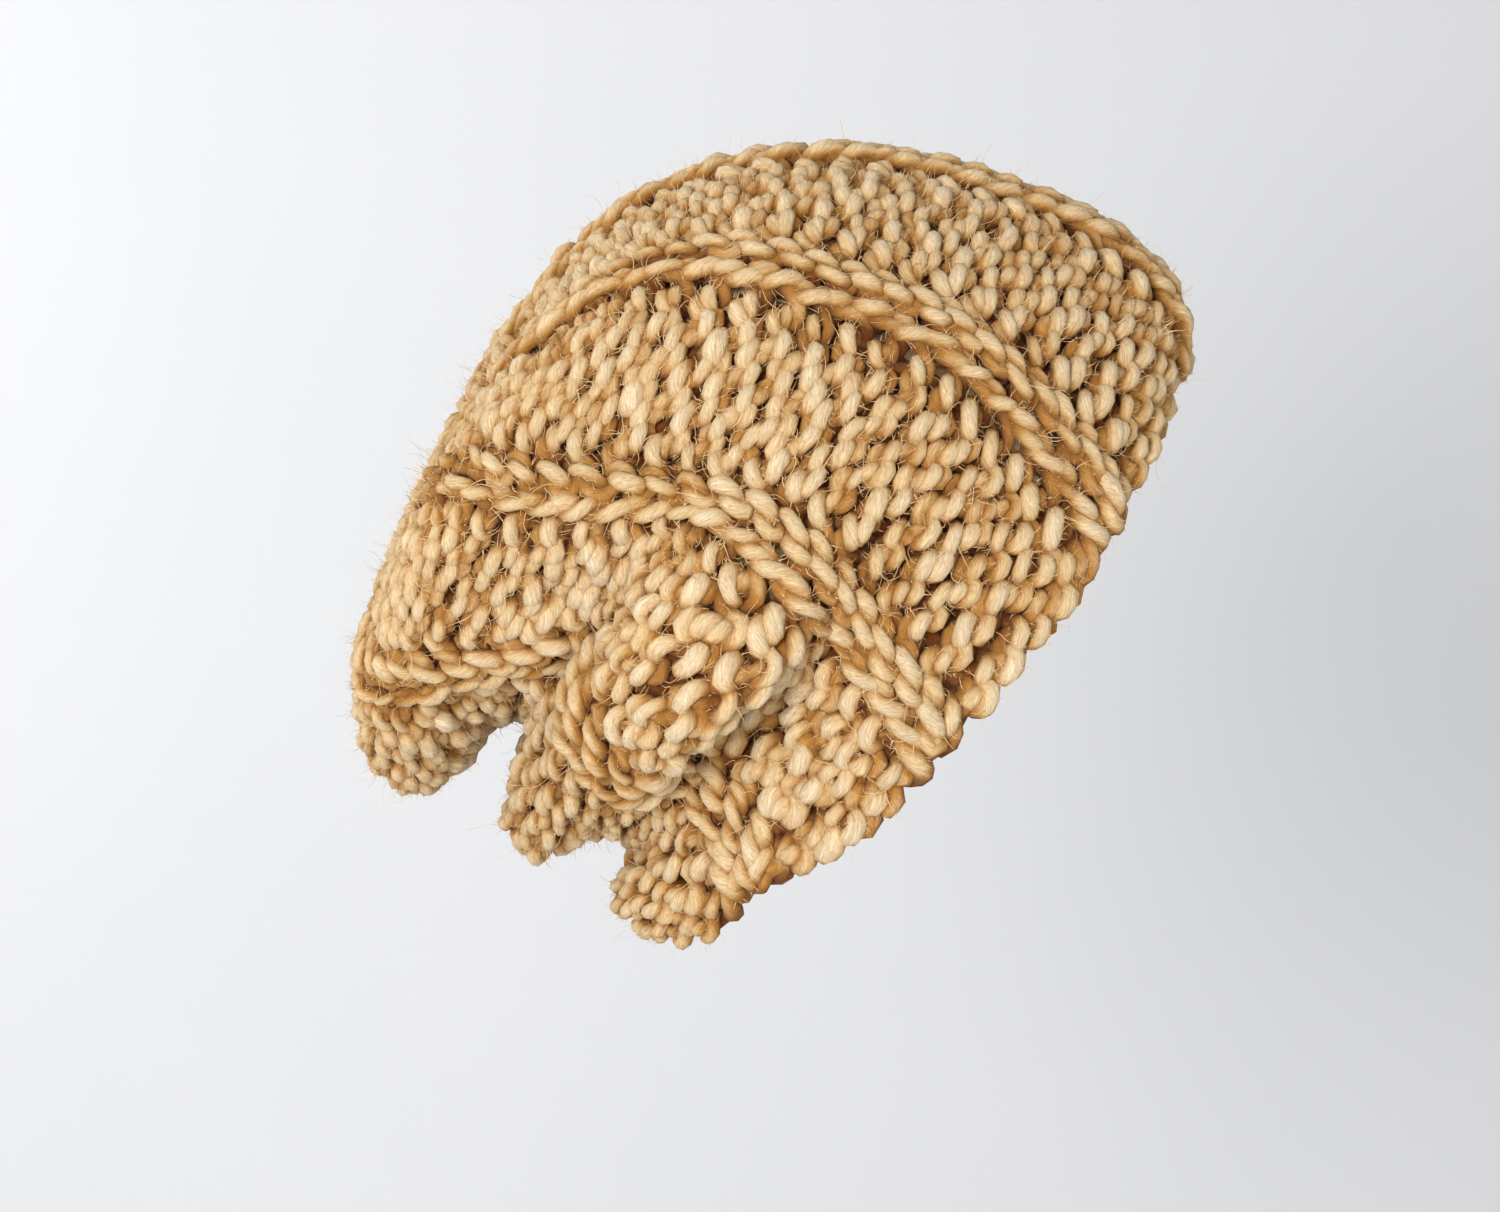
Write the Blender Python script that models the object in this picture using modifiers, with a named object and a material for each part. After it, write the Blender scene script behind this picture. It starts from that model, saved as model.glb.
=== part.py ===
"""A slouchy beanie in very thick yarn, in the shape that it has when it is worn.

The hat is one piece of cloth, knitted in the round from the brim to the crown. Eight narrow
ridges of plain stitches run its whole length, and the panels between them are slightly hollow.
The wearer looks along +X. The slack hangs behind, folds into three lobes over the nape, and the
crown of the hat faces -X.
"""

from collections import namedtuple

import bmesh
import bpy
import numpy as np

MM = 0.001
HUNDREDTH = 0.01

# Sizes. The hat fits a wearer who measures FITTED_LENGTH from brow to nape, and its side view is
# laid out from that length. HAT_WIDTH is across the middle of the cloth where the hat is widest,
# and FOLD_DEPTH is the push of the deepest fold.
FITTED_LENGTH = 200.0 * MM
HAT_WIDTH = 180.0 * MM
FOLD_DEPTH = 15.0 * MM

# Knitting
RIDGES = 8
FIRST_RIDGE_DEG = 12.0
RIDGE_RISE = 4.0 * MM
RIDGE_REACH_DEG = 4.0
PANEL_HOLLOW = 0.5 * MM
LAST_RIDGE_ROW = 27.0
RIDGE_FADE_ROWS = 6.0
FLATTENING_FOLD_RADIUS = 16.0 * MM
CLOTH_THICKNESS = 7.0 * MM

# Grid of the cloth: lines from brim to crown at these shares of the way from ridge to ridge, and
# bands of cloth from brim to crown.
LINE_SHARES = (0.0, 0.1, 0.21, 0.355, 0.5, 0.645, 0.79, 0.9)
BANDS = 40
LAST_BAND_ROW = 29.5

YARN_COLOUR = (0.58, 0.37, 0.19, 1.0)
YARN_ROUGHNESS = 0.95

# Where the middle of the cloth runs. Each section is one row of the knitting, counted from the
# brim. It gives the crest over the top, three of the ridges on the wearer's right side and the line
# over the nape in hundredths of FITTED_LENGTH, and the hat's width in hundredths of HAT_WIDTH.
Section = namedtuple(
    "Section",
    "row crest_x crest_z upper_x upper_z middle_x middle_z lower_x lower_z nape_x nape_z width",
)
SECTIONS = (
    Section(0.0, 35, 39.5, 24, 16.5, 1, -12, -23.5, -31, -36.5, -37.5, 85.5),
    Section(2.0, 35.5, 49.5, 19, 25.5, -4.5, -2.5, -26, -20.5, -42, -32.5, 91),
    Section(4.0, 30, 57.5, 13, 33, -10, 5, -31.5, -15, -38, -25, 95.5),
    Section(6.0, 21, 63, 6.5, 39.5, -16, 12, -40.5, -14, -45, -22.5, 99),
    Section(8.0, 12, 66.5, -1.5, 45, -22.5, 18.5, -45.5, -6.5, -53, -26, 100),
    Section(10.0, 2.5, 69, -10, 48.5, -30.5, 22, -46, 2, -57, -20, 100),
    Section(12.0, -7, 70.5, -19, 51.5, -39.5, 22.5, -53, 2, -50.5, -7.5, 100),
    Section(14.0, -17.5, 70, -28.5, 53, -49, 23, -61.5, 0.5, -60, -7, 98),
    Section(16.0, -28, 68, -37, 52, -56.5, 24.5, -69, -1, -68, -16.5, 94.5),
    Section(18.0, -37, 65, -44, 48.5, -61, 25.5, -73, -1, -75.5, -13.5, 88),
    Section(20.0, -44.5, 59.5, -51.5, 43, -63.5, 25, -74, 2.5, -77, -5, 80),
    Section(22.5, -53, 51, -57.5, 36.5, -65.5, 23.5, -73.5, 7, -76, 2.5, 66.5),
    Section(25.0, -60.5, 41, -63, 32, -67.5, 22.5, -72.5, 12, -74, 9, 50),
    Section(28.0, -65.5, 30, -66.5, 26.5, -68.5, 22.5, -70.5, 17, -71.5, 15.5, 28),
    Section(31.0, -69, 21, -69, 21, -69, 21, -69, 21, -69, 21, 0),
)

# Places of a section's five points round the hat, from the crest down the wearer's right side,
# and how far out each lies as a share of the half width.
POINT_ANGLES = (0.0, 57.0, 102.0, 147.0, 180.0)
POINT_SHARES = (0.0, 0.84, 0.98, 0.62, 0.0)

# Folds on the wearer's right side, as smooth dents and swellings of the cloth. Each reaches
# rows_wide and degrees_wide from its middle, and its push is in hundredths of FOLD_DEPTH.
Fold = namedtuple("Fold", "row angle rows_wide degrees_wide x y z")
FOLDS = (
    Fold(7.7, 127, 2.2, 17, -15, -80, -35),
    Fold(6.0, 122, 1.2, 17, 35, -75, -45),
    Fold(4.2, 129, 1.3, 18, -15, 100, 35),
    Fold(11.5, 129, 1.7, 13, 20, 45, 0),
    Fold(14.2, 122, 2.4, 13, 0, 40, 0),
    Fold(13.0, 90, 2.5, 10, 0, 35, 0),
    Fold(0.0, 162, 2.2, 10, 15, 0, -25),
)


def section_rings():
    """Each section as a closed ring of eight points, down the right side and up the left."""
    rings = []
    for s in SECTIONS:
        across = (s.crest_x, s.upper_x, s.middle_x, s.lower_x, s.nape_x)
        up = (s.crest_z, s.upper_z, s.middle_z, s.lower_z, s.nape_z)
        out = [share * s.width for share in POINT_SHARES]
        right = [(x, -y, z) for x, y, z in zip(across, out, up)]
        left = [(x, -y, z) for x, y, z in right[3:0:-1]]
        rings.append(right + left)
    sizes = np.array((FITTED_LENGTH, HAT_WIDTH / 2, FITTED_LENGTH))
    return np.array(rings) * HUNDREDTH * sizes


def cubic(start, end, start_slope, end_slope, length, t):
    """Cubic curve between two values with the slopes given at its ends."""
    return (
        start * (1 + 2 * t) * (1 - t) ** 2
        + start_slope * length * t * (1 - t) ** 2
        + end * t**2 * (3 - 2 * t)
        + end_slope * length * t**2 * (t - 1)
    )


def ring_slopes(knots, values):
    """Slopes at the knots of the smoothest closed curve through the values."""
    count = len(knots)
    gaps = np.diff(np.append(knots, knots[0] + 360.0))
    matrix = np.zeros((count, count))
    right = np.zeros(values.shape)
    for i in range(count):
        after = (i + 1) % count
        matrix[i, i - 1] += gaps[i]
        matrix[i, i] += 2 * (gaps[i - 1] + gaps[i])
        matrix[i, after] += gaps[i - 1]
        rise_after = (values[after] - values[i]) / gaps[i]
        rise_before = (values[i] - values[i - 1]) / gaps[i - 1]
        right[i] = 3 * (gaps[i - 1] * rise_after + gaps[i] * rise_before)
    return np.linalg.solve(matrix, right)


def round_the_hat(ring, angles):
    """Points of one section at the angles asked for."""
    knots = np.array(POINT_ANGLES + tuple(360.0 - a for a in POINT_ANGLES[3:0:-1]))
    slopes = ring_slopes(knots, ring)
    gaps = np.diff(np.append(knots, 360.0))
    angles = np.mod(angles, 360.0)
    i = np.searchsorted(knots, angles, side="right") - 1
    j = (i + 1) % len(knots)
    length = gaps[i][:, None]
    t = (angles - knots[i])[:, None] / length
    return cubic(ring[i], ring[j], slopes[i], slopes[j], length, t)


def along_the_hat(rings, rows):
    """Rings at the rows asked for, on smooth lines from brim to crown through the sections."""
    knots = np.array([s.row for s in SECTIONS])
    slopes = np.gradient(rings, knots, axis=0)
    i = np.clip(np.searchsorted(knots, rows, side="right") - 1, 0, len(knots) - 2)
    length = (knots[i + 1] - knots[i])[:, None, None]
    t = (rows - knots[i])[:, None, None] / length
    return cubic(rings[i], rings[i + 1], slopes[i], slopes[i + 1], length, t)


def fold_push(rows, angles):
    """How far the folds push the cloth, at each row and angle."""
    push = np.zeros((len(rows), len(angles), 3))
    for fold in FOLDS:
        off_row = (rows - fold.row) / fold.rows_wide
        off_angle = (np.mod(angles - fold.angle + 180.0, 360.0) - 180.0) / fold.degrees_wide
        share = np.exp(-(off_row**2))[:, None] * np.exp(-(off_angle**2))[None, :]
        push += share[:, :, None] * np.array((fold.x, fold.y, fold.z)) * HUNDREDTH * FOLD_DEPTH
    return push


def outward_normals(points):
    """Unit normals of a grid that closes round the hat, facing out of it."""
    along = np.gradient(points, axis=0)
    around = np.roll(points, -1, axis=1) - np.roll(points, 1, axis=1)
    normals = np.cross(along, around)
    length = np.linalg.norm(normals, axis=2, keepdims=True)
    return normals / np.maximum(length, 1e-12)


def kept_height(points, normals, rows):
    """Share of their height that the ridges keep: none where the cloth doubles back, or near the crown."""
    along = np.gradient(points, rows, axis=0)
    bend = np.gradient(along, rows, axis=0)
    hollow = np.sum(bend * normals, axis=2) / np.sum(along**2, axis=2)
    unfolded = np.clip(1.0 - hollow * FLATTENING_FOLD_RADIUS, 0.0, 1.0)
    before_crown = np.clip((LAST_RIDGE_ROW - rows) / RIDGE_FADE_ROWS, 0.0, 1.0)
    return unfolded * before_crown[:, None]


def ridge_rise(angles):
    """Height of the ridges above the panels: raised on each ridge and hollow between two."""
    pitch = 360.0 / RIDGES
    off_ridge = np.abs(np.mod(angles - FIRST_RIDGE_DEG + pitch / 2, pitch) - pitch / 2)
    crest = np.exp(-((off_ridge / RIDGE_REACH_DEG) ** 2))
    hollow = np.sin(np.pi * off_ridge / pitch) ** 2
    return RIDGE_RISE * crest - PANEL_HOLLOW * hollow


def cloth_points():
    """Grid over the middle of the cloth, from the brim to the last row before the crown."""
    rows = np.linspace(0.0, LAST_BAND_ROW, BANDS)
    ridges, shares = np.meshgrid(np.arange(RIDGES), LINE_SHARES, indexing="ij")
    angles = FIRST_RIDGE_DEG + (ridges + shares).ravel() * 360.0 / RIDGES
    rings = np.array([round_the_hat(ring, angles) for ring in section_rings()])
    points = along_the_hat(rings, rows) + fold_push(rows, angles)
    normals = outward_normals(points)
    rise = kept_height(points, normals, rows) * ridge_rise(angles)[None, :]
    return points + normals * rise[:, :, None]


def yarn_material():
    material = bpy.data.materials.new("wool")
    material.use_nodes = True
    shader = material.node_tree.nodes["Principled BSDF"]
    shader.inputs["Base Color"].default_value = YARN_COLOUR
    shader.inputs["Roughness"].default_value = YARN_ROUGHNESS
    return material


def knitted_hat(collection):
    """The cloth as an open grid closed at the crown, given its thickness by a modifier."""
    points = cloth_points()
    mesh_of_hat = bmesh.new()
    grid = [[mesh_of_hat.verts.new(point) for point in ring] for ring in points]
    crown = mesh_of_hat.verts.new(section_rings()[-1, 0])
    for line in range(len(grid[0])):
        beside = line - 1
        for lower, upper in zip(grid[:-1], grid[1:]):
            mesh_of_hat.faces.new((lower[beside], upper[beside], upper[line], lower[line]))
        mesh_of_hat.faces.new((grid[-1][beside], crown, grid[-1][line]))
    mesh = bpy.data.meshes.new("knitted_hat")
    mesh_of_hat.to_mesh(mesh)
    mesh_of_hat.free()
    mesh.set_sharp_from_angle(angle=np.radians(60.0))
    hat = bpy.data.objects.new("knitted_hat", mesh)
    hat.data.materials.append(yarn_material())
    collection.objects.link(hat)
    thickness = hat.modifiers.new("cloth_thickness", "SOLIDIFY")
    thickness.thickness = CLOTH_THICKNESS
    thickness.offset = 0.0
    return hat


def build():
    for existing in list(bpy.data.objects):
        bpy.data.objects.remove(existing)
    collection = bpy.data.collections.new("slouchy_beanie")
    bpy.context.scene.collection.children.link(collection)
    knitted_hat(collection)


build()
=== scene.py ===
"""The slouchy beanie as it looks: every round of its knitting drawn as real two-ply yarn.

Each round is one closed course of loops that follows the hat's cloth. The ridges are columns of
plain stitches, whose legs make a braid of V shapes, and the panels between them are purl stitches,
whose heads and feet make rows of bumps. Loose fibres stand off the yarn as a light fuzz.
"""

import math
from collections import namedtuple

import bpy
import numpy as np
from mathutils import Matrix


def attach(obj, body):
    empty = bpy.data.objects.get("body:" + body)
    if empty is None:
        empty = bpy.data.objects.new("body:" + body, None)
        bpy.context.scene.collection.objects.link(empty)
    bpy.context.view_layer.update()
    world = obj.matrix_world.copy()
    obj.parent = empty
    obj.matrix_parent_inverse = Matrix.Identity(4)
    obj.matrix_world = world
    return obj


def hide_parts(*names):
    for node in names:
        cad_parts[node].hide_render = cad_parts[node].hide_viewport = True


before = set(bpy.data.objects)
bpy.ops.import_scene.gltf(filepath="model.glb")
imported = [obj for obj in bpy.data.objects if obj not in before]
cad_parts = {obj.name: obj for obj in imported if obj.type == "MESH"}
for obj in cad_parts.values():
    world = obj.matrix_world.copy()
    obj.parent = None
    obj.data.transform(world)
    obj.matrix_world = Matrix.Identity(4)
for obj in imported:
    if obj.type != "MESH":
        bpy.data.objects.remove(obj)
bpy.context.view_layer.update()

MM = 0.001
HUNDREDTH = 0.01
TINY = 1e-12

# The hat's sizes and ridges, as in the part's source
FITTED_LENGTH = 200.0 * MM
HAT_WIDTH = 180.0 * MM
FOLD_DEPTH = 15.0 * MM
RIDGES = 8
FIRST_RIDGE_DEG = 12.0
RIDGE_RISE = 4.0 * MM
RIDGE_REACH_DEG = 4.0
PANEL_HOLLOW = 0.5 * MM
LAST_RIDGE_ROW = 27.0
RIDGE_FADE_ROWS = 6.0
FLATTENING_FOLD_RADIUS = 16.0 * MM

# Where the middle of the cloth runs. Each section is one row of the knitting. It gives the crest,
# three ridges on the wearer's right side and the line over the nape in hundredths of FITTED_LENGTH,
# and the width in hundredths of HAT_WIDTH.
Section = namedtuple(
    "Section",
    "row crest_x crest_z upper_x upper_z middle_x middle_z lower_x lower_z nape_x nape_z width",
)
SECTIONS = (
    Section(0.0, 35, 39.5, 24, 16.5, 1, -12, -23.5, -31, -36.5, -37.5, 85.5),
    Section(2.0, 35.5, 49.5, 19, 25.5, -4.5, -2.5, -26, -20.5, -42, -32.5, 91),
    Section(4.0, 30, 57.5, 13, 33, -10, 5, -31.5, -15, -38, -25, 95.5),
    Section(6.0, 21, 63, 6.5, 39.5, -16, 12, -40.5, -14, -45, -22.5, 99),
    Section(8.0, 12, 66.5, -1.5, 45, -22.5, 18.5, -45.5, -6.5, -53, -26, 100),
    Section(10.0, 2.5, 69, -10, 48.5, -30.5, 22, -46, 2, -57, -20, 100),
    Section(12.0, -7, 70.5, -19, 51.5, -39.5, 22.5, -53, 2, -50.5, -7.5, 100),
    Section(14.0, -17.5, 70, -28.5, 53, -49, 23, -61.5, 0.5, -60, -7, 98),
    Section(16.0, -28, 68, -37, 52, -56.5, 24.5, -69, -1, -68, -16.5, 94.5),
    Section(18.0, -37, 65, -44, 48.5, -61, 25.5, -73, -1, -75.5, -13.5, 88),
    Section(20.0, -44.5, 59.5, -51.5, 43, -63.5, 25, -74, 2.5, -77, -5, 80),
    Section(22.5, -53, 51, -57.5, 36.5, -65.5, 23.5, -73.5, 7, -76, 2.5, 66.5),
    Section(25.0, -60.5, 41, -63, 32, -67.5, 22.5, -72.5, 12, -74, 9, 50),
    Section(28.0, -65.5, 30, -66.5, 26.5, -68.5, 22.5, -70.5, 17, -71.5, 15.5, 28),
    Section(31.0, -69, 21, -69, 21, -69, 21, -69, 21, -69, 21, 0),
)

# Places of a section's five points round the hat, from the crest down the wearer's right side, and
# how far out each lies as a share of the half width
POINT_ANGLES = (0.0, 57.0, 102.0, 147.0, 180.0)
POINT_SHARES = (0.0, 0.84, 0.98, 0.62, 0.0)

# Dents and swellings of the cloth, pushed in hundredths of FOLD_DEPTH
Fold = namedtuple("Fold", "row angle rows_wide degrees_wide x y z")
FOLDS = (
    Fold(7.7, 127, 2.2, 17, -15, -80, -35),
    Fold(6.0, 122, 1.2, 17, 35, -75, -45),
    Fold(4.2, 129, 1.3, 18, -15, 100, 35),
    Fold(11.5, 129, 1.7, 13, 20, 45, 0),
    Fold(14.2, 122, 2.4, 13, 0, 40, 0),
    Fold(13.0, 90, 2.5, 10, 0, 35, 0),
    Fold(0.0, 162, 2.2, 10, 15, 0, -25),
)

# Grid that the cloth is read from. It runs on below the brim at the slope of these many steps, and
# above the last row with normals the cloth faces one way.
LOWEST_ROW = -1.5
TOP_ROW = 31.0
ROWS_PER_STEP = 0.1
DEGREES_PER_STEP = 0.5
EDGE_SLOPE_STEPS = 5
LAST_ROW_WITH_NORMALS = 30.0

# The knitting. Each ridge is one plain stitch, RIDGE_STITCH_WIDTH times as wide as a purl stitch.
# Beside it is a panel of purl stitches, fewer from certain rows on towards the crown.
FIRST_COURSE_ROW = 1.05
COURSES = 29
PURLS_FROM_ROW = ((0.0, 5), (18.3, 4), (21.3, 3), (23.8, 2), (26.3, 1), (28.3, 0))
RIDGE_STITCH_WIDTH = 1.6

# Kinds of stitch, by the face that they show
PLAIN, PURL = 1.0, -1.0

# The fabric is skewed: a course climbs by these many rows across each panel and across a ridge, and
# drops back beside the ridge, over a share of the distance between two ridges. The skew grows from
# the brim and fades to the crown over these rows.
PANEL_CLIMB = 0.95
RIDGE_CLIMB = -0.3
DROP_SHARE = 0.12
SKEW_FADE_ROWS = 5.0

# A loop's shape, in stitches across, rows up and metres out of the cloth. Its head and feet are
# flattened by a third wave, so that they lie along the row and on top of the cloth. Loops less than
# TILT_REACH stitches off a ridge tilt as they rise. Purl loops are as tall as it takes to bring the
# feet of one course within PURL_GAP of the heads of the course before last, and the yarn turns over
# within TURN_OVER_SHARE of a stitch. The loops are set into the hat, since the soft yarn is thicker
# than the solid's cloth.
LOOP_LEAN = {PLAIN: 0.22, PURL: 0.18}
RIDGE_TILT = -0.17
TILT_REACH = 2.0
PLAIN_HEIGHT = 0.72
PURL_GAP = 5.8 * MM
PURL_HEIGHTS = (0.58, 0.82)
LOOP_FLATNESS = 0.11
CAST_ON_HEIGHT = 0.66
LOOP_DEPTH = 3.3 * MM
CLOTH_SET_IN = 3.1 * MM
TURN_OVER_SHARE = 0.32

# The yarn drawn through the last round, which closes the crown
DRAWN_ROW = 30.35
DRAWN_POINTS = 72

# The yarn: two plies twisted round each other, with their fibres twisted in them
PLY_RADIUS = 2.2 * MM
PLY_OFFSET = 1.6 * MM
TWIST_LENGTH = 17.0 * MM
FIBRE_TWIST_LENGTH = 38.0 * MM

# How finely the yarn is drawn: a draft of each course, then a smoothed line with a ring of points
# on each ply every YARN_STEP, closer outside the hat and sparser inside by INSIDE_SPARING
DRAFT_POINTS_PER_STITCH = 40
YARN_STEP = 2.35 * MM
INSIDE_SPARING = 0.45
YARN_SMOOTHINGS = 2
PLY_SIDES = 7
COURSES_PER_PIECE = 5

# The soft yarn is thinner or thicker than usual, down and up to these shares, where the rows are
# closer together or farther apart than this.
USUAL_ROW_SPACING = 9.5 * MM
LEAST_AND_MOST_FULLNESS = (0.88, 1.2)

# Unevenness of hand-knitted, hand-plied yarn, as the spread of each stitch or each lump
UNEVEN_ACROSS = 0.035
UNEVEN_UP = 0.045
UNEVEN_OUT = 0.4 * MM
UNEVEN_THICKNESS = 0.13
UNEVEN_TWIST = 0.35
UNEVEN_SURFACE = 0.045
LUMP_LENGTH = 13.0 * MM

# Loose fibres: short ones close over the plies, and longer ones that stand off and curl back. Each
# is a ribbon of pairs of points and a tip. Lengths are in millimetres, and the lift off the yarn,
# the curl, the stray and the wave are changes of the heading, in radians. Most fibres grow outside
# the hat and the rest inside, where the yarn is FUZZ_FROM_HEIGHT or more from the cloth's middle.
Fuzz = namedtuple("Fuzz", "name fibres pairs shortest longest least_lift most_lift curl")
FUZZ = (
    Fuzz("short_fibres", 76000, 1, 0.8, 2.4, 0.2, 1.2, 0.0),
    Fuzz("curled_fibres", 24000, 3, 2.5, 6.5, 0.3, 1.5, 0.7),
    Fuzz("long_fibres", 3600, 6, 6.0, 14.0, 0.4, 1.6, 0.5),
)
FUZZ_OUTSIDE_SHARE = 0.8
FUZZ_FROM_HEIGHT = 0.5 * MM
FIBRE_WIDTH = 0.19 * MM
FIBRE_THIN_SHARE = 0.4
FIBRE_STRAY = 0.35
FIBRE_WAVE = 0.15
SEED = 7

# Wool's colours along the painted shade: dark brown deep in the cloth, golden in the creases
# between plies and creamy on its surface, mixed with soft patches
WOOL_TONES = (
    (0.22, (0.17, 0.046, 0.006)),
    (0.45, (0.50, 0.25, 0.06)),
    (0.62, (0.78, 0.58, 0.32)),
    (0.82, (0.83, 0.70, 0.49)),
)
CREASE_SHADE = 0.4
PATCH_SHARE = 0.3
PATCH_NOISE = {"Scale": 110.0, "Detail": 3.0}

# The grain of its fibres, drawn out along each ply
GRAIN_STRETCH = (1350.0, 1350.0, 360.0)
GRAIN_NOISE = {"Scale": 1.0, "Detail": 5.0, "Roughness": 0.75, "Distortion": 2.2}
GRAIN_STREAKS = ((0.3, (0.58, 0.42, 0.26)), (0.6, (1.0, 1.0, 1.0)))
GRAIN_RELIEF = {"Strength": 1.0, "Distance": 0.5 * MM}
WOOL_FINISH = {
    "Roughness": 0.85,
    "Specular IOR Level": 0.1,
    "Sheen Weight": 0.12,
    "Sheen Roughness": 0.5,
    "Sheen Tint": (1.0, 0.8, 0.55, 1.0),
}

# Looks of the loose fibres and of the paper behind the hat
FIBRE_TONES = ((0.0, (0.44, 0.23, 0.08)), (1.0, (0.90, 0.68, 0.40)))
FIBRE_NOISE = {"Scale": 160.0}
FIBRE_FINISH = {"Roughness": 0.8, "Specular IOR Level": 0.1}
PAPER_TONES = ((0.0, (0.72, 0.73, 0.75)), (1.0, (0.76, 0.765, 0.78)))
PAPER_NOISE = {"Scale": 3.0}
PAPER_FINISH = {"Roughness": 0.9}

# The photograph's frame
IMAGE_WIDTH = 1500
METRES_PER_PIXEL = 0.28 * MM
CAMERA_DISTANCE = 0.95
VIEW_MIDDLE_X = -0.0468
VIEW_MIDDLE_Z = 0.0174
SENSOR_WIDTH_MM = 36.0
NEAREST_SEEN = 0.02

# Paper that sweeps up from the floor into a wall, well clear of the hat
FLOOR_Z = -1.0
WALL_Y = 1.3
SWEEP_RADIUS = 0.5
SWEEP_STEP_DEG = 6
FLOOR_FRONT_Y = -3.0
WALL_TOP_Z = 3.0
PAPER_HALF_WIDTH = 4.0

# Soft lights, in metres and watts, and the light of the room
Light = namedtuple("Light", "name place target size watts colour")
HAT_MIDDLE = (-0.04, 0.0, 0.03)
LIGHTS = (
    Light("window", (-0.6, -1.55, 0.1), HAT_MIDDLE, 0.6, 24.0, (1.0, 0.98, 0.95)),
    Light("fill", (0.5, -1.6, -0.1), HAT_MIDDLE, 1.2, 11.0, (1.0, 0.96, 0.9)),
    Light("from_above", (0.1, 0.2, 1.7), HAT_MIDDLE, 1.2, 2.5, (1.0, 0.98, 0.96)),
    Light("wall_wash", (-1.4, 0.1, 0.6), (-0.5, 1.3, 0.25), 1.0, 15.0, (1.0, 1.0, 1.0)),
)
ROOM_COLOUR = (0.95, 0.97, 1.0)
ROOM_BRIGHTNESS = 0.36


# The surface of the cloth


def section_rings():
    """Each section as a closed ring of eight points, down the right side and up the left."""
    rings = []
    for s in SECTIONS:
        across = (s.crest_x, s.upper_x, s.middle_x, s.lower_x, s.nape_x)
        up = (s.crest_z, s.upper_z, s.middle_z, s.lower_z, s.nape_z)
        out = [share * s.width for share in POINT_SHARES]
        right = [(x, -y, z) for x, y, z in zip(across, out, up)]
        left = [(x, -y, z) for x, y, z in right[3:0:-1]]
        rings.append(right + left)
    sizes = np.array((FITTED_LENGTH, HAT_WIDTH / 2, FITTED_LENGTH))
    return np.array(rings) * HUNDREDTH * sizes


def cubic(start, end, start_slope, end_slope, length, t):
    """Cubic curve between two values with the slopes given at its ends."""
    return (
        start * (1 + 2 * t) * (1 - t) ** 2
        + start_slope * length * t * (1 - t) ** 2
        + end * t**2 * (3 - 2 * t)
        + end_slope * length * t**2 * (t - 1)
    )


def ring_slopes(knots, values):
    """Slopes at the knots of the smoothest closed curve through the values."""
    count = len(knots)
    gaps = np.diff(np.append(knots, knots[0] + 360.0))
    matrix = np.zeros((count, count))
    right = np.zeros(values.shape)
    for i in range(count):
        after = (i + 1) % count
        matrix[i, i - 1] += gaps[i]
        matrix[i, i] += 2 * (gaps[i - 1] + gaps[i])
        matrix[i, after] += gaps[i - 1]
        rise_after = (values[after] - values[i]) / gaps[i]
        rise_before = (values[i] - values[i - 1]) / gaps[i - 1]
        right[i] = 3 * (gaps[i - 1] * rise_after + gaps[i] * rise_before)
    return np.linalg.solve(matrix, right)


def round_the_hat(ring, angles):
    """Points of one section at the angles asked for."""
    knots = np.array(POINT_ANGLES + tuple(360.0 - a for a in POINT_ANGLES[3:0:-1]))
    slopes = ring_slopes(knots, ring)
    gaps = np.diff(np.append(knots, 360.0))
    i = np.searchsorted(knots, angles, side="right") - 1
    j = (i + 1) % len(knots)
    length = gaps[i][:, None]
    t = (angles - knots[i])[:, None] / length
    return cubic(ring[i], ring[j], slopes[i], slopes[j], length, t)


def along_the_hat(rings, rows):
    """Rings at the rows asked for, on smooth lines from brim to crown through the sections."""
    knots = np.array([s.row for s in SECTIONS])
    slopes = np.gradient(rings, knots, axis=0)
    i = np.clip(np.searchsorted(knots, rows, side="right") - 1, 0, len(knots) - 2)
    length = (knots[i + 1] - knots[i])[:, None, None]
    t = (rows - knots[i])[:, None, None] / length
    return cubic(rings[i], rings[i + 1], slopes[i], slopes[i + 1], length, t)


def fold_push(rows, angles):
    """How far the folds push the cloth, at each row and angle."""
    push = np.zeros((len(rows), len(angles), 3))
    for fold in FOLDS:
        off_row = (rows - fold.row) / fold.rows_wide
        off_angle = (np.mod(angles - fold.angle + 180.0, 360.0) - 180.0) / fold.degrees_wide
        share = np.exp(-(off_row**2))[:, None] * np.exp(-(off_angle**2))[None, :]
        push += share[:, :, None] * np.array((fold.x, fold.y, fold.z)) * HUNDREDTH * FOLD_DEPTH
    return push


def outward_normals(points):
    """Unit normals of a grid that closes round the hat, facing out of it."""
    along = np.gradient(points, axis=0)
    around = np.roll(points, -1, axis=1) - np.roll(points, 1, axis=1)
    normals = np.cross(along, around)
    length = np.linalg.norm(normals, axis=2, keepdims=True)
    return normals / np.maximum(length, TINY)


def kept_height(points, normals, rows):
    """Share of their height that the ridges keep: none where the cloth doubles back or closes."""
    along = np.gradient(points, rows, axis=0)
    bend = np.gradient(along, rows, axis=0)
    hollow = np.sum(bend * normals, axis=2) / np.maximum(np.sum(along**2, axis=2), TINY)
    unfolded = np.clip(1.0 - hollow * FLATTENING_FOLD_RADIUS, 0.0, 1.0)
    before_crown = np.clip((LAST_RIDGE_ROW - rows) / RIDGE_FADE_ROWS, 0.0, 1.0)
    return unfolded * before_crown[:, None]


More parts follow.
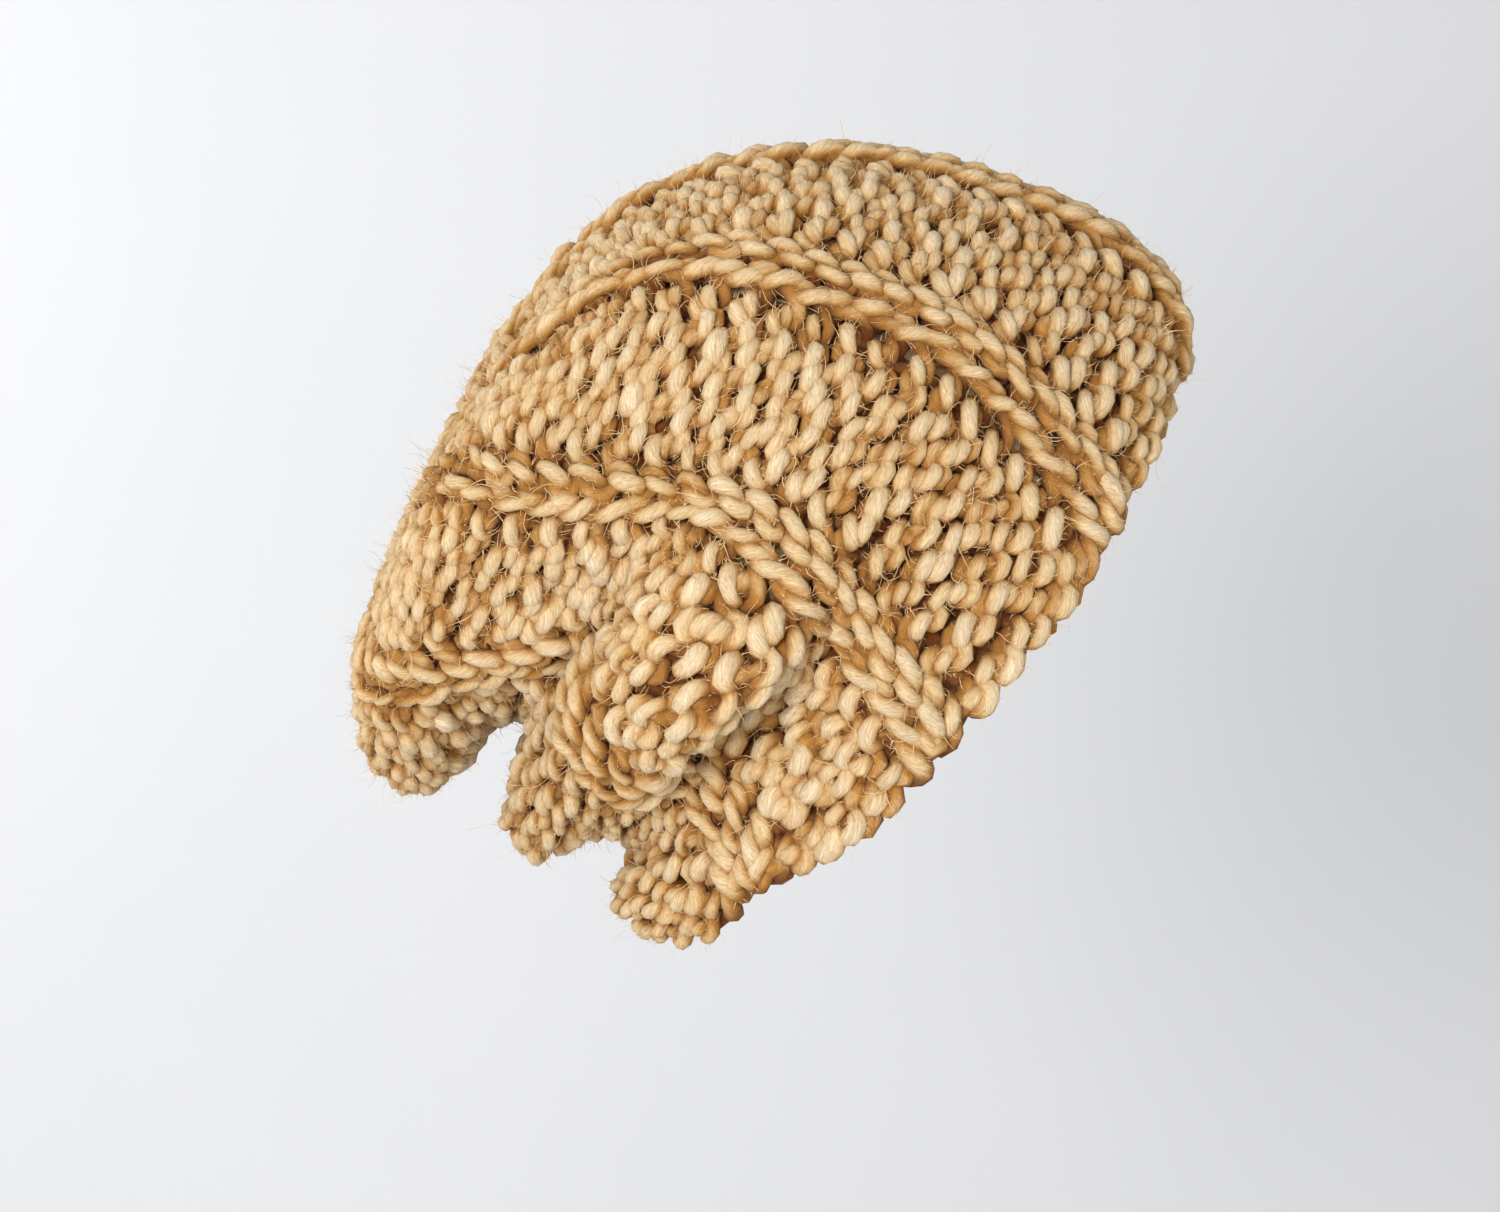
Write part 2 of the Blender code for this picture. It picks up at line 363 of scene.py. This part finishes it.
def ridge_rise(angles):
    """Height of the ridges above the panels: raised on each ridge and hollow between two."""
    pitch = 360.0 / RIDGES
    off_ridge = np.abs(np.mod(angles - FIRST_RIDGE_DEG + pitch / 2, pitch) - pitch / 2)
    crest = np.exp(-((off_ridge / RIDGE_REACH_DEG) ** 2))
    hollow = np.sin(np.pi * off_ridge / pitch) ** 2
    return RIDGE_RISE * crest - PANEL_HOLLOW * hollow


class Cloth:
    """The middle of the cloth on a fine grid, read at any row and angle."""

    def __init__(self):
        self.rows = np.arange(LOWEST_ROW, TOP_ROW + ROWS_PER_STEP / 2, ROWS_PER_STEP)
        self.angles = np.arange(0.0, 360.0, DEGREES_PER_STEP)
        rings = np.array([round_the_hat(ring, self.angles) for ring in section_rings()])
        real = np.maximum(self.rows, 0.0)
        points = along_the_hat(rings, real) + fold_push(real, self.angles)
        below = np.minimum(self.rows, 0.0)[:, None, None]
        first = int(round(-LOWEST_ROW / ROWS_PER_STEP))
        edge_rise = points[first + EDGE_SLOPE_STEPS] - points[first]
        edge_slope = edge_rise / (EDGE_SLOPE_STEPS * ROWS_PER_STEP)
        self.points = points + below * edge_slope[None]
        normals = outward_normals(self.points)
        last = int(round((LAST_ROW_WITH_NORMALS - LOWEST_ROW) / ROWS_PER_STEP))
        normals[last:] = normals[last].mean(axis=0)
        normals[last:] /= np.linalg.norm(normals[last, 0])
        self.normals = normals
        self.height = kept_height(self.points, normals, self.rows)
        self.row_spacing = np.linalg.norm(np.gradient(self.points, self.rows, axis=0), axis=2)
        self.fullness = np.clip(self.row_spacing / USUAL_ROW_SPACING, *LEAST_AND_MOST_FULLNESS)

    def read(self, grid, rows, angles):
        """A grid's value at each row and angle, straight between its steps."""
        row = np.clip((rows - LOWEST_ROW) / ROWS_PER_STEP, 0, len(self.rows) - 1 - TINY)
        turn = np.mod(angles, 360.0) / DEGREES_PER_STEP
        i, j = row.astype(int), turn.astype(int) % len(self.angles)
        k = (j + 1) % len(self.angles)
        a, b = (row - i), (turn - turn.astype(int))
        if grid.ndim == 3:
            a, b = a[:, None], b[:, None]
        low = grid[i, j] * (1 - b) + grid[i, k] * b
        high = grid[i + 1, j] * (1 - b) + grid[i + 1, k] * b
        return low * (1 - a) + high * a

    def place(self, rows, angles, out):
        """Points at this height out of the cloth, and the cloth's normals there."""
        points = self.read(self.points, rows, angles)
        normals = self.read(self.normals, rows, angles)
        normals /= np.linalg.norm(normals, axis=1, keepdims=True)
        rise = self.read(self.height, rows, angles) * ridge_rise(angles)
        return points + normals * (out + rise)[:, None], normals


# The knitting

# A closed line of yarn: its points, and at each the cloth's normal, the height out of the middle of
# the cloth and the yarn's fullness
Line = namedtuple("Line", "points normals heights fullness")

# One ply: its rings of points, where each point lies in the ply, the painted shade of each point by
# its depth in the cloth and in the crease between plies, and the normal and height at each ring
Ply = namedtuple("Ply", "rings in_ply from_core normals heights")


def purls_at(row):
    """Purl stitches in each panel at this row."""
    return [purls for start, purls in PURLS_FROM_ROW if row >= start][-1]


def stitch_edges(row):
    """Angles between the stitches of a course, and the kind of each stitch."""
    purls = purls_at(row)
    pitch = 360.0 / RIDGES
    unit = pitch / (RIDGE_STITCH_WIDTH + purls)
    widths = ([RIDGE_STITCH_WIDTH * unit] + [unit] * purls) * RIDGES
    start = FIRST_RIDGE_DEG - RIDGE_STITCH_WIDTH * unit / 2
    edges = start + np.concatenate([[0.0], np.cumsum(widths)])
    kinds = np.array(([PLAIN] + [PURL] * purls) * RIDGES)
    return edges, kinds


def skew(row, angles):
    """How far a course has climbed at each angle."""
    ridge = RIDGE_STITCH_WIDTH / (RIDGE_STITCH_WIDTH + purls_at(row)) / 2
    panel = ridge + DROP_SHARE
    share = np.mod((angles - FIRST_RIDGE_DEG) * RIDGES / 360.0, 1.0)
    climb = np.interp(
        share,
        (0.0, ridge, panel, 1.0 - panel, 1.0 - ridge, 1.0),
        (0.0, RIDGE_CLIMB / 2, -PANEL_CLIMB / 2, PANEL_CLIMB / 2, -RIDGE_CLIMB / 2, 0.0),
    )
    kept = min(row, COURSES - row) / SKEW_FADE_ROWS
    return climb * np.clip(kept, 0.0, 1.0)


def smooth_round(values, at):
    """Values at whole stitches, eased from one to the next round the course."""
    count = len(values)
    i = np.floor(at).astype(int)
    t = at - i
    ease = t * t * (3 - 2 * t)
    return values[i % count] * (1 - ease) + values[(i + 1) % count] * ease


def turned_over(kinds, at):
    """Which face each point of the course shows: eased where a plain stitch meets a purl."""
    count = len(kinds)
    nearest = np.round(at).astype(int)
    across = np.clip((at - nearest) / TURN_OVER_SHARE, -1.0, 1.0)
    before, after = kinds[(nearest - 1) % count], kinds[nearest % count]
    return before + (after - before) * (across + 1) / 2


def near_ridge(kinds, at):
    """How near each point of the course is to a ridge stitch: one in its middle, fading to none."""
    group = len(kinds) / RIDGES
    off_ridge = np.abs(np.mod(at - 0.5 + group / 2, group) - group / 2)
    return np.clip(1.0 - off_ridge / TILT_REACH, 0.0, 1.0)


def flat_wave(turn):
    """A cosine with its crests and hollows flattened."""
    return (np.cos(turn) - LOOP_FLATNESS * np.cos(3 * turn)) / (1 - LOOP_FLATNESS)


def draft_points(count):
    """Points of a draft for this many stitches, counted in stitches."""
    return np.arange(count * DRAFT_POINTS_PER_STITCH) / DRAFT_POINTS_PER_STITCH


def course_path(cloth, row, chance):
    """The line of one round of loops."""
    edges, kinds = stitch_edges(row)
    count = len(kinds)
    at = draft_points(count)
    turn = 2 * np.pi * at
    face = turned_over(kinds, at)
    plain = (face + 1) / 2
    lean = LOOP_LEAN[PURL] + (LOOP_LEAN[PLAIN] - LOOP_LEAN[PURL]) * plain
    across = at + lean * np.sin(2 * turn) - RIDGE_TILT * near_ridge(kinds, at) * flat_wave(turn)
    across += smooth_round(chance.normal(0, UNEVEN_ACROSS, count), at)
    laps = np.floor(across / count)
    angles = np.interp(across - laps * count, np.arange(count + 1), edges) + 360.0 * laps
    middle = row + skew(row, angles)
    spacing = cloth.read(cloth.row_spacing, middle, angles)
    purl_height = np.clip(1 - PURL_GAP / 2 / spacing, *PURL_HEIGHTS)
    height = purl_height + (PLAIN_HEIGHT - purl_height) * plain
    up = middle - height * flat_wave(turn)
    up += smooth_round(chance.normal(0, UNEVEN_UP, count), at)
    out = -face * LOOP_DEPTH * flat_wave(2 * turn)
    out += smooth_round(chance.normal(0, UNEVEN_OUT, count), at)
    return laid_yarn(cloth, up, angles, out)


def cast_on_path(cloth, row, chance):
    """The line of the edge that the first round hangs on: a row of heads with no legs."""
    edges, kinds = stitch_edges(row)
    count = len(kinds)
    at = draft_points(count)
    up = np.full(len(at), row - 1 + CAST_ON_HEIGHT)
    up += smooth_round(chance.normal(0, UNEVEN_UP, count), at)
    out = turned_over(kinds, at + 0.5) * LOOP_DEPTH * np.cos(2 * np.pi * at)
    angles = np.interp(at, np.arange(count + 1), edges)
    return laid_yarn(cloth, up, angles, out)


def drawn_path(cloth):
    """The line of the small ring that draws the last round together."""
    up = np.full(DRAWN_POINTS, DRAWN_ROW)
    angles = np.arange(DRAWN_POINTS) * 360.0 / DRAWN_POINTS
    return laid_yarn(cloth, up, angles, np.zeros(DRAWN_POINTS))


def closed_steps(points):
    """Distance from each point of a closed line to the next."""
    return np.linalg.norm(np.roll(points, -1, axis=0) - points, axis=1)


def laid_yarn(cloth, up, angles, out):
    """A smooth closed line on the cloth, its points closer together outside the hat than inside."""
    points, normals = cloth.place(up, angles, out - CLOTH_SET_IN)
    fullness = cloth.read(cloth.fullness, up, angles)
    pace = YARN_STEP * (1.0 - INSIDE_SPARING * out / LOOP_DEPTH)
    paced = np.concatenate([[0.0], np.cumsum(closed_steps(points) / pace)])
    places = np.linspace(0.0, paced[-1], round(paced[-1]), endpoint=False)
    columns = np.column_stack([points, normals, out, fullness]).T
    line = np.column_stack([np.interp(places, paced[:-1], c, period=paced[-1]) for c in columns])
    for _ in range(YARN_SMOOTHINGS):
        line = (np.roll(line, 1, axis=0) + 2 * line + np.roll(line, -1, axis=0)) / 4
    return Line(line[:, :3], line[:, 3:6], line[:, 6], line[:, 7])


def unit_rows(vectors):
    """The vectors at unit length."""
    return vectors / np.maximum(np.linalg.norm(vectors, axis=1, keepdims=True), TINY)


def square_to(tangents, vectors):
    """The part of each vector square to its tangent, at unit length."""
    along = np.sum(vectors * tangents, axis=1, keepdims=True)
    return unit_rows(vectors - along * tangents)


def closed_tangents(points):
    """Unit direction of a closed line at each point."""
    return unit_rows(np.roll(points, -1, axis=0) - np.roll(points, 1, axis=0))


def arc_lengths(points):
    """Distance along a closed line at each point, and its whole length."""
    steps = closed_steps(points)
    return np.concatenate([[0.0], np.cumsum(steps)[:-1]]), steps.sum()


def uneven_along(count, spread, chance):
    """A smooth random value at each point of a closed line."""
    lumps = chance.normal(0.0, spread, max(3, round(count * YARN_STEP / LUMP_LENGTH)))
    return smooth_round(lumps, np.arange(count) * len(lumps) / count)


def twisted_ply(line, which, turn_more, thicker, chance):
    """One of the two plies that twist round a line of yarn."""
    tangents = closed_tangents(line.points)
    arc, length = arc_lengths(line.points)
    turns = round(length / TWIST_LENGTH)
    twist = -2 * np.pi * turns * arc / length + turn_more + math.pi * which
    side = square_to(tangents, line.normals)
    other = np.cross(tangents, side)
    away = np.cos(twist)[:, None] * side + np.sin(twist)[:, None] * other
    centre = line.points + PLY_OFFSET * line.fullness[:, None] * away

    along = closed_tangents(centre)
    first = square_to(along, away)
    second = np.cross(along, first)
    radius = PLY_RADIUS * line.fullness * (1.0 + thicker)
    dents = chance.normal(1.0, UNEVEN_SURFACE, (len(centre), PLY_SIDES))
    around = 2 * np.pi * np.arange(PLY_SIDES) / PLY_SIDES
    spoke = np.cos(around)[None, :, None] * first[:, None]
    spoke = spoke + np.sin(around)[None, :, None] * second[:, None]
    rings = centre[:, None] + (radius[:, None] * dents)[:, :, None] * spoke

    fibre_turn = around[None, :] + 2 * np.pi * arc[:, None] / FIBRE_TWIST_LENGTH
    in_ply = np.empty(rings.shape)
    in_ply[:, :, 0] = PLY_RADIUS * np.cos(fibre_turn)
    in_ply[:, :, 1] = PLY_RADIUS * np.sin(fibre_turn)
    in_ply[:, :, 2] = arc[:, None] + length * which

    # Painted shade: the colour is darkest deep in the cloth, lighter towards its surfaces, and
    # darkened again towards the creases between the two plies, lightest on each ply's crest
    off_line = np.sum((rings - line.points[:, None]) * line.normals[:, None], axis=2)
    from_core = np.abs(line.heights[:, None] + off_line) / (LOOP_DEPTH + PLY_OFFSET + PLY_RADIUS)
    crest = (1 + np.cos(around)) / 2
    from_core *= 1 - CREASE_SHADE * (1 - crest[None, :])
    return Ply(rings, in_ply, from_core, line.normals, line.heights)


def plied(line, chance):
    """Both plies of a line of yarn."""
    turn_more = uneven_along(len(line.points), UNEVEN_TWIST, chance)
    thicker = [uneven_along(len(line.points), UNEVEN_THICKNESS, chance) for _ in (0, 1)]
    return [twisted_ply(line, which, turn_more, thicker[which], chance) for which in (0, 1)]


def closed_tube_faces(rings, sides, first):
    """Faces of a tube whose last ring joins its first."""
    i = np.arange(rings)[:, None]
    j = np.arange(sides)[None, :]
    after, beside = (i + 1) % rings, (j + 1) % sides
    corners = (i * sides + j, i * sides + beside, after * sides + beside, after * sides + j)
    return np.stack(np.broadcast_arrays(*corners), axis=-1).reshape(-1, 4) + first


def mesh_object(name, points, faces, material, attributes=None):
    """A smooth object from arrays of points and of faces that all have as many corners."""
    mesh = bpy.data.meshes.new(name)
    count, corners = faces.shape
    mesh.vertices.add(len(points))
    mesh.vertices.foreach_set("co", np.ascontiguousarray(points, np.float32).ravel())
    mesh.loops.add(count * corners)
    mesh.loops.foreach_set("vertex_index", faces.astype(np.int32).ravel())
    mesh.polygons.add(count)
    mesh.polygons.foreach_set("loop_start", np.arange(0, count * corners, corners, dtype=np.int32))
    mesh.polygons.foreach_set("use_smooth", np.ones(count, bool))
    for label, values in (attributes or {}).items():
        kind, field = ("FLOAT", "value") if values.ndim == 1 else ("FLOAT_VECTOR", "vector")
        layer = mesh.attributes.new(label, kind, "POINT")
        layer.data.foreach_set(field, np.ascontiguousarray(values, np.float32).ravel())
    mesh.update(calc_edges=True)
    mesh.materials.append(material)
    piece = bpy.data.objects.new(name, mesh)
    bpy.context.scene.collection.objects.link(piece)
    return piece


def on_the_hat(piece):
    """Makes a piece stand for the knitted cloth."""
    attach(piece, "root")
    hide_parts("knitted_hat")


def lines_from(cloth, first, chance):
    """The lines of yarn in the piece that starts at this course."""
    end = min(first + COURSES_PER_PIECE, COURSES)
    lines = [course_path(cloth, FIRST_COURSE_ROW + course, chance) for course in range(first, end)]
    if first == 0:
        lines.append(cast_on_path(cloth, FIRST_COURSE_ROW, chance))
    if end == COURSES:
        lines.append(drawn_path(cloth))
    return lines


def yarn_object(name, plies, material):
    """All these plies as one object."""
    faces, total = [], 0
    for ply in plies:
        faces.append(closed_tube_faces(len(ply.rings), PLY_SIDES, total))
        total += len(ply.rings) * PLY_SIDES
    points = np.concatenate([ply.rings.reshape(-1, 3) for ply in plies])
    attributes = {
        "in_ply": np.concatenate([ply.in_ply.reshape(-1, 3) for ply in plies]),
        # The painted shade by depth in the cloth and by crease, which the wool's colour ramp reads
        "from_core": np.concatenate([ply.from_core.ravel() for ply in plies]),
    }
    return mesh_object(name, points, np.concatenate(faces), material, attributes)


def knit(cloth, material, chance):
    """All the courses, as a few pieces. Returns every ply."""
    all_plies = []
    for first in range(0, COURSES, COURSES_PER_PIECE):
        lines = lines_from(cloth, first, chance)
        plies = [ply for line in lines for ply in plied(line, chance)]
        on_the_hat(yarn_object(f"knitting_{first:02d}", plies, material))
        all_plies += plies
    return all_plies


def fibre_points(rings, normals, heights, fuzz, chance):
    """Points of fine tapered ribbons that start on the yarn, by fibre: its pairs, then its tip."""
    count = fuzz.fibres
    outside = np.flatnonzero(heights[:-1] > FUZZ_FROM_HEIGHT)
    inside = np.flatnonzero(heights[:-1] < -FUZZ_FROM_HEIGHT)
    faces_out = chance.random(count) < FUZZ_OUTSIDE_SHARE
    pick = np.where(faces_out, chance.choice(outside, count), chance.choice(inside, count))
    centre = rings[pick].mean(axis=1)
    spoke = rings[pick, chance.integers(0, PLY_SIDES, count)] - centre
    turned_away = (np.sum(spoke * normals[pick], axis=1) < 0) == faces_out
    spoke = np.where(turned_away[:, None], -spoke, spoke)

    along = unit_rows(rings[pick + 1].mean(axis=1) - centre)
    along *= chance.choice((-1, 1), count)[:, None]
    lift = chance.uniform(fuzz.least_lift, fuzz.most_lift, count)[:, None]
    stray = chance.normal(0, FIBRE_STRAY, (count, 3))
    heading = unit_rows(along + unit_rows(spoke) * lift + stray)
    curl_axis = unit_rows(chance.normal(0, 1, (count, 3)))
    step = chance.uniform(fuzz.shortest, fuzz.longest, count)[:, None] * MM / fuzz.pairs

    place = centre + spoke
    points = []
    for width in np.linspace(1.0, FIBRE_THIN_SHARE, fuzz.pairs) * FIBRE_WIDTH:
        edge = unit_rows(np.cross(heading, normals[pick])) * width / 2
        points += [place - edge, place + edge]
        place = place + heading * step
        wave = np.cross(curl_axis, heading) * fuzz.curl + chance.normal(0, FIBRE_WAVE, (count, 3))
        heading = unit_rows(heading + wave)
    return np.stack(points + [place], axis=1)


def ribbon_faces(pairs):
    """Triangles of one ribbon of pairs of points, with its tip last."""
    tip = 2 * pairs
    faces = [(tip - 2, tip - 1, tip)]
    for i in range(0, tip - 2, 2):
        faces += [(i, i + 1, i + 3), (i, i + 3, i + 2)]
    return np.array(faces)


def loose_fibres(plies, material, chance):
    """The fuzz that stands off the yarn, a piece for each kind."""
    rings = np.concatenate([ply.rings for ply in plies])
    normals = np.concatenate([ply.normals for ply in plies])
    heights = np.concatenate([ply.heights for ply in plies])
    for fuzz in FUZZ:
        starts = np.arange(fuzz.fibres) * (2 * fuzz.pairs + 1)
        faces = (starts[:, None, None] + ribbon_faces(fuzz.pairs)[None]).reshape(-1, 3)
        points = fibre_points(rings, normals, heights, fuzz, chance).reshape(-1, 3)
        on_the_hat(mesh_object(fuzz.name, points, faces, material))


# Materials


def new_material(name):
    """A new material's tree and its Principled shader."""
    material = bpy.data.materials.new(name)
    material.use_nodes = True
    return material, material.node_tree, material.node_tree.nodes["Principled BSDF"]


def set_inputs(node, values):
    """Sets a node's inputs by name."""
    for name, value in values.items():
        node.inputs[name].default_value = value


def attribute(tree, name):
    """A node that reads one of the mesh's own attributes."""
    node = tree.nodes.new("ShaderNodeAttribute")
    node.attribute_name = name
    return node


def noise(tree, place, values):
    """Noise with these values at the place that a vector output gives."""
    texture = tree.nodes.new("ShaderNodeTexNoise")
    set_inputs(texture, values)
    tree.links.new(place, texture.inputs["Vector"])
    return texture.outputs["Fac"]


def noise_in_object(tree, values):
    """Noise with these values, fixed to the object."""
    coordinates = tree.nodes.new("ShaderNodeTexCoord")
    return noise(tree, coordinates.outputs["Object"], values)


def colour_ramp(tree, amount, stops):
    """The colour for this amount on a ramp with these stops, as positions and linear colours."""
    ramp = tree.nodes.new("ShaderNodeValToRGB")
    elements = ramp.color_ramp.elements
    while len(elements) < len(stops):
        elements.new(1.0)
    for element, (position, colour) in zip(elements, stops):
        element.position = position
        element.color = (*colour, 1.0)
    tree.links.new(amount, ramp.inputs["Fac"])
    return ramp.outputs["Color"]


def fibre_grain(tree):
    """Noise drawn out along each ply, as its fibres lie."""
    stretch = tree.nodes.new("ShaderNodeMapping")
    stretch.inputs["Scale"].default_value = GRAIN_STRETCH
    tree.links.new(attribute(tree, "in_ply").outputs["Vector"], stretch.inputs["Vector"])
    return noise(tree, stretch.outputs["Vector"], GRAIN_NOISE)


def wool_tone_and_painted_shade(tree):
    """Painted shade, dark deep in the cloth and in ply creases, creamy on its surface, in patches.
    """
    tone = tree.nodes.new("ShaderNodeMix")
    tone.inputs["Factor"].default_value = PATCH_SHARE
    tree.links.new(attribute(tree, "from_core").outputs["Fac"], tone.inputs["A"])
    tree.links.new(noise_in_object(tree, PATCH_NOISE), tone.inputs["B"])
    return colour_ramp(tree, tone.outputs["Result"], WOOL_TONES)


def wool_material():
    """Camel wool with painted shade in its depths and creases, streaked with the fibres of each
    ply.
    """
    material, tree, shader = new_material("camel_wool")
    grain = fibre_grain(tree)
    tint = tree.nodes.new("ShaderNodeMix")
    tint.data_type = "RGBA"
    tint.blend_type = "MULTIPLY"
    tint.inputs["Factor"].default_value = 1.0
    tree.links.new(wool_tone_and_painted_shade(tree), tint.inputs["A"])
    tree.links.new(colour_ramp(tree, grain, GRAIN_STREAKS), tint.inputs["B"])
    tree.links.new(tint.outputs["Result"], shader.inputs["Base Color"])

    bump = tree.nodes.new("ShaderNodeBump")
    set_inputs(bump, GRAIN_RELIEF)
    tree.links.new(grain, bump.inputs["Height"])
    tree.links.new(bump.outputs["Normal"], shader.inputs["Normal"])
    set_inputs(shader, WOOL_FINISH)
    return material


def speckled_material(name, noise_values, tones, finish):
    """A plain surface whose colour varies a little from place to place."""
    material, tree, shader = new_material(name)
    colour = colour_ramp(tree, noise_in_object(tree, noise_values), tones)
    tree.links.new(colour, shader.inputs["Base Color"])
    set_inputs(shader, finish)
    return material


# Stage, lights and camera


def paper_sweep(material):
    """A floor that curves up into a wall behind the hat."""
    bend_y, bend_z = WALL_Y - SWEEP_RADIUS, FLOOR_Z + SWEEP_RADIUS
    profile = [(FLOOR_FRONT_Y, FLOOR_Z)]
    for degrees in range(0, 91, SWEEP_STEP_DEG):
        a = math.radians(degrees)
        profile.append((bend_y + SWEEP_RADIUS * math.sin(a), bend_z - SWEEP_RADIUS * math.cos(a)))
    profile.append((WALL_Y, WALL_TOP_Z))
    points = [(x, y, z) for y, z in profile for x in (-PAPER_HALF_WIDTH, PAPER_HALF_WIDTH)]
    faces = [(2 * i, 2 * i + 1, 2 * i + 3, 2 * i + 2) for i in range(len(profile) - 1)]
    mesh_object("paper_sweep", np.array(points), np.array(faces), material)


def area_light(row):
    """A round area light that shines from its place towards its target."""
    light = bpy.data.lights.new(row.name, "AREA")
    light.shape = "DISK"
    light.size = row.size
    light.energy = row.watts
    light.color = row.colour
    lamp = bpy.data.objects.new(row.name, light)
    lamp.location = row.place
    x, y, z = np.array(row.target) - np.array(row.place)
    lamp.rotation_euler = (math.atan2(math.hypot(x, y), -z), 0.0, math.atan2(-x, y))
    bpy.context.scene.collection.objects.link(lamp)


def light_the_stage():
    """The lights, and the room's even light."""
    for row in LIGHTS:
        area_light(row)
    world = bpy.data.worlds.new("soft_room")
    world.use_nodes = True
    room = {"Color": (*ROOM_COLOUR, 1.0), "Strength": ROOM_BRIGHTNESS}
    set_inputs(world.node_tree.nodes["Background"], room)
    bpy.context.scene.world = world


def photograph_camera():
    """Level, from the wearer's right side, with the photograph's frame."""
    camera = bpy.data.cameras.new("photograph")
    view_width = IMAGE_WIDTH * METRES_PER_PIXEL
    camera.sensor_fit = "HORIZONTAL"
    camera.sensor_width = SENSOR_WIDTH_MM
    camera.lens = SENSOR_WIDTH_MM * CAMERA_DISTANCE / view_width
    camera.clip_start = NEAREST_SEEN
    stand = bpy.data.objects.new("photograph", camera)
    stand.location = (VIEW_MIDDLE_X, -CAMERA_DISTANCE, VIEW_MIDDLE_Z)
    stand.rotation_euler = (math.pi / 2, 0.0, 0.0)
    bpy.context.scene.collection.objects.link(stand)
    bpy.context.scene.camera = stand


bpy.context.scene.view_settings.view_transform = "Standard"
photograph_camera()
light_the_stage()
paper_sweep(speckled_material("pale_paper", PAPER_NOISE, PAPER_TONES, PAPER_FINISH))
dice = np.random.default_rng(SEED)
hat_plies = knit(Cloth(), wool_material(), dice)
fibre_wool = speckled_material("loose_wool_fibre", FIBRE_NOISE, FIBRE_TONES, FIBRE_FINISH)
loose_fibres(hat_plies, fibre_wool, dice)
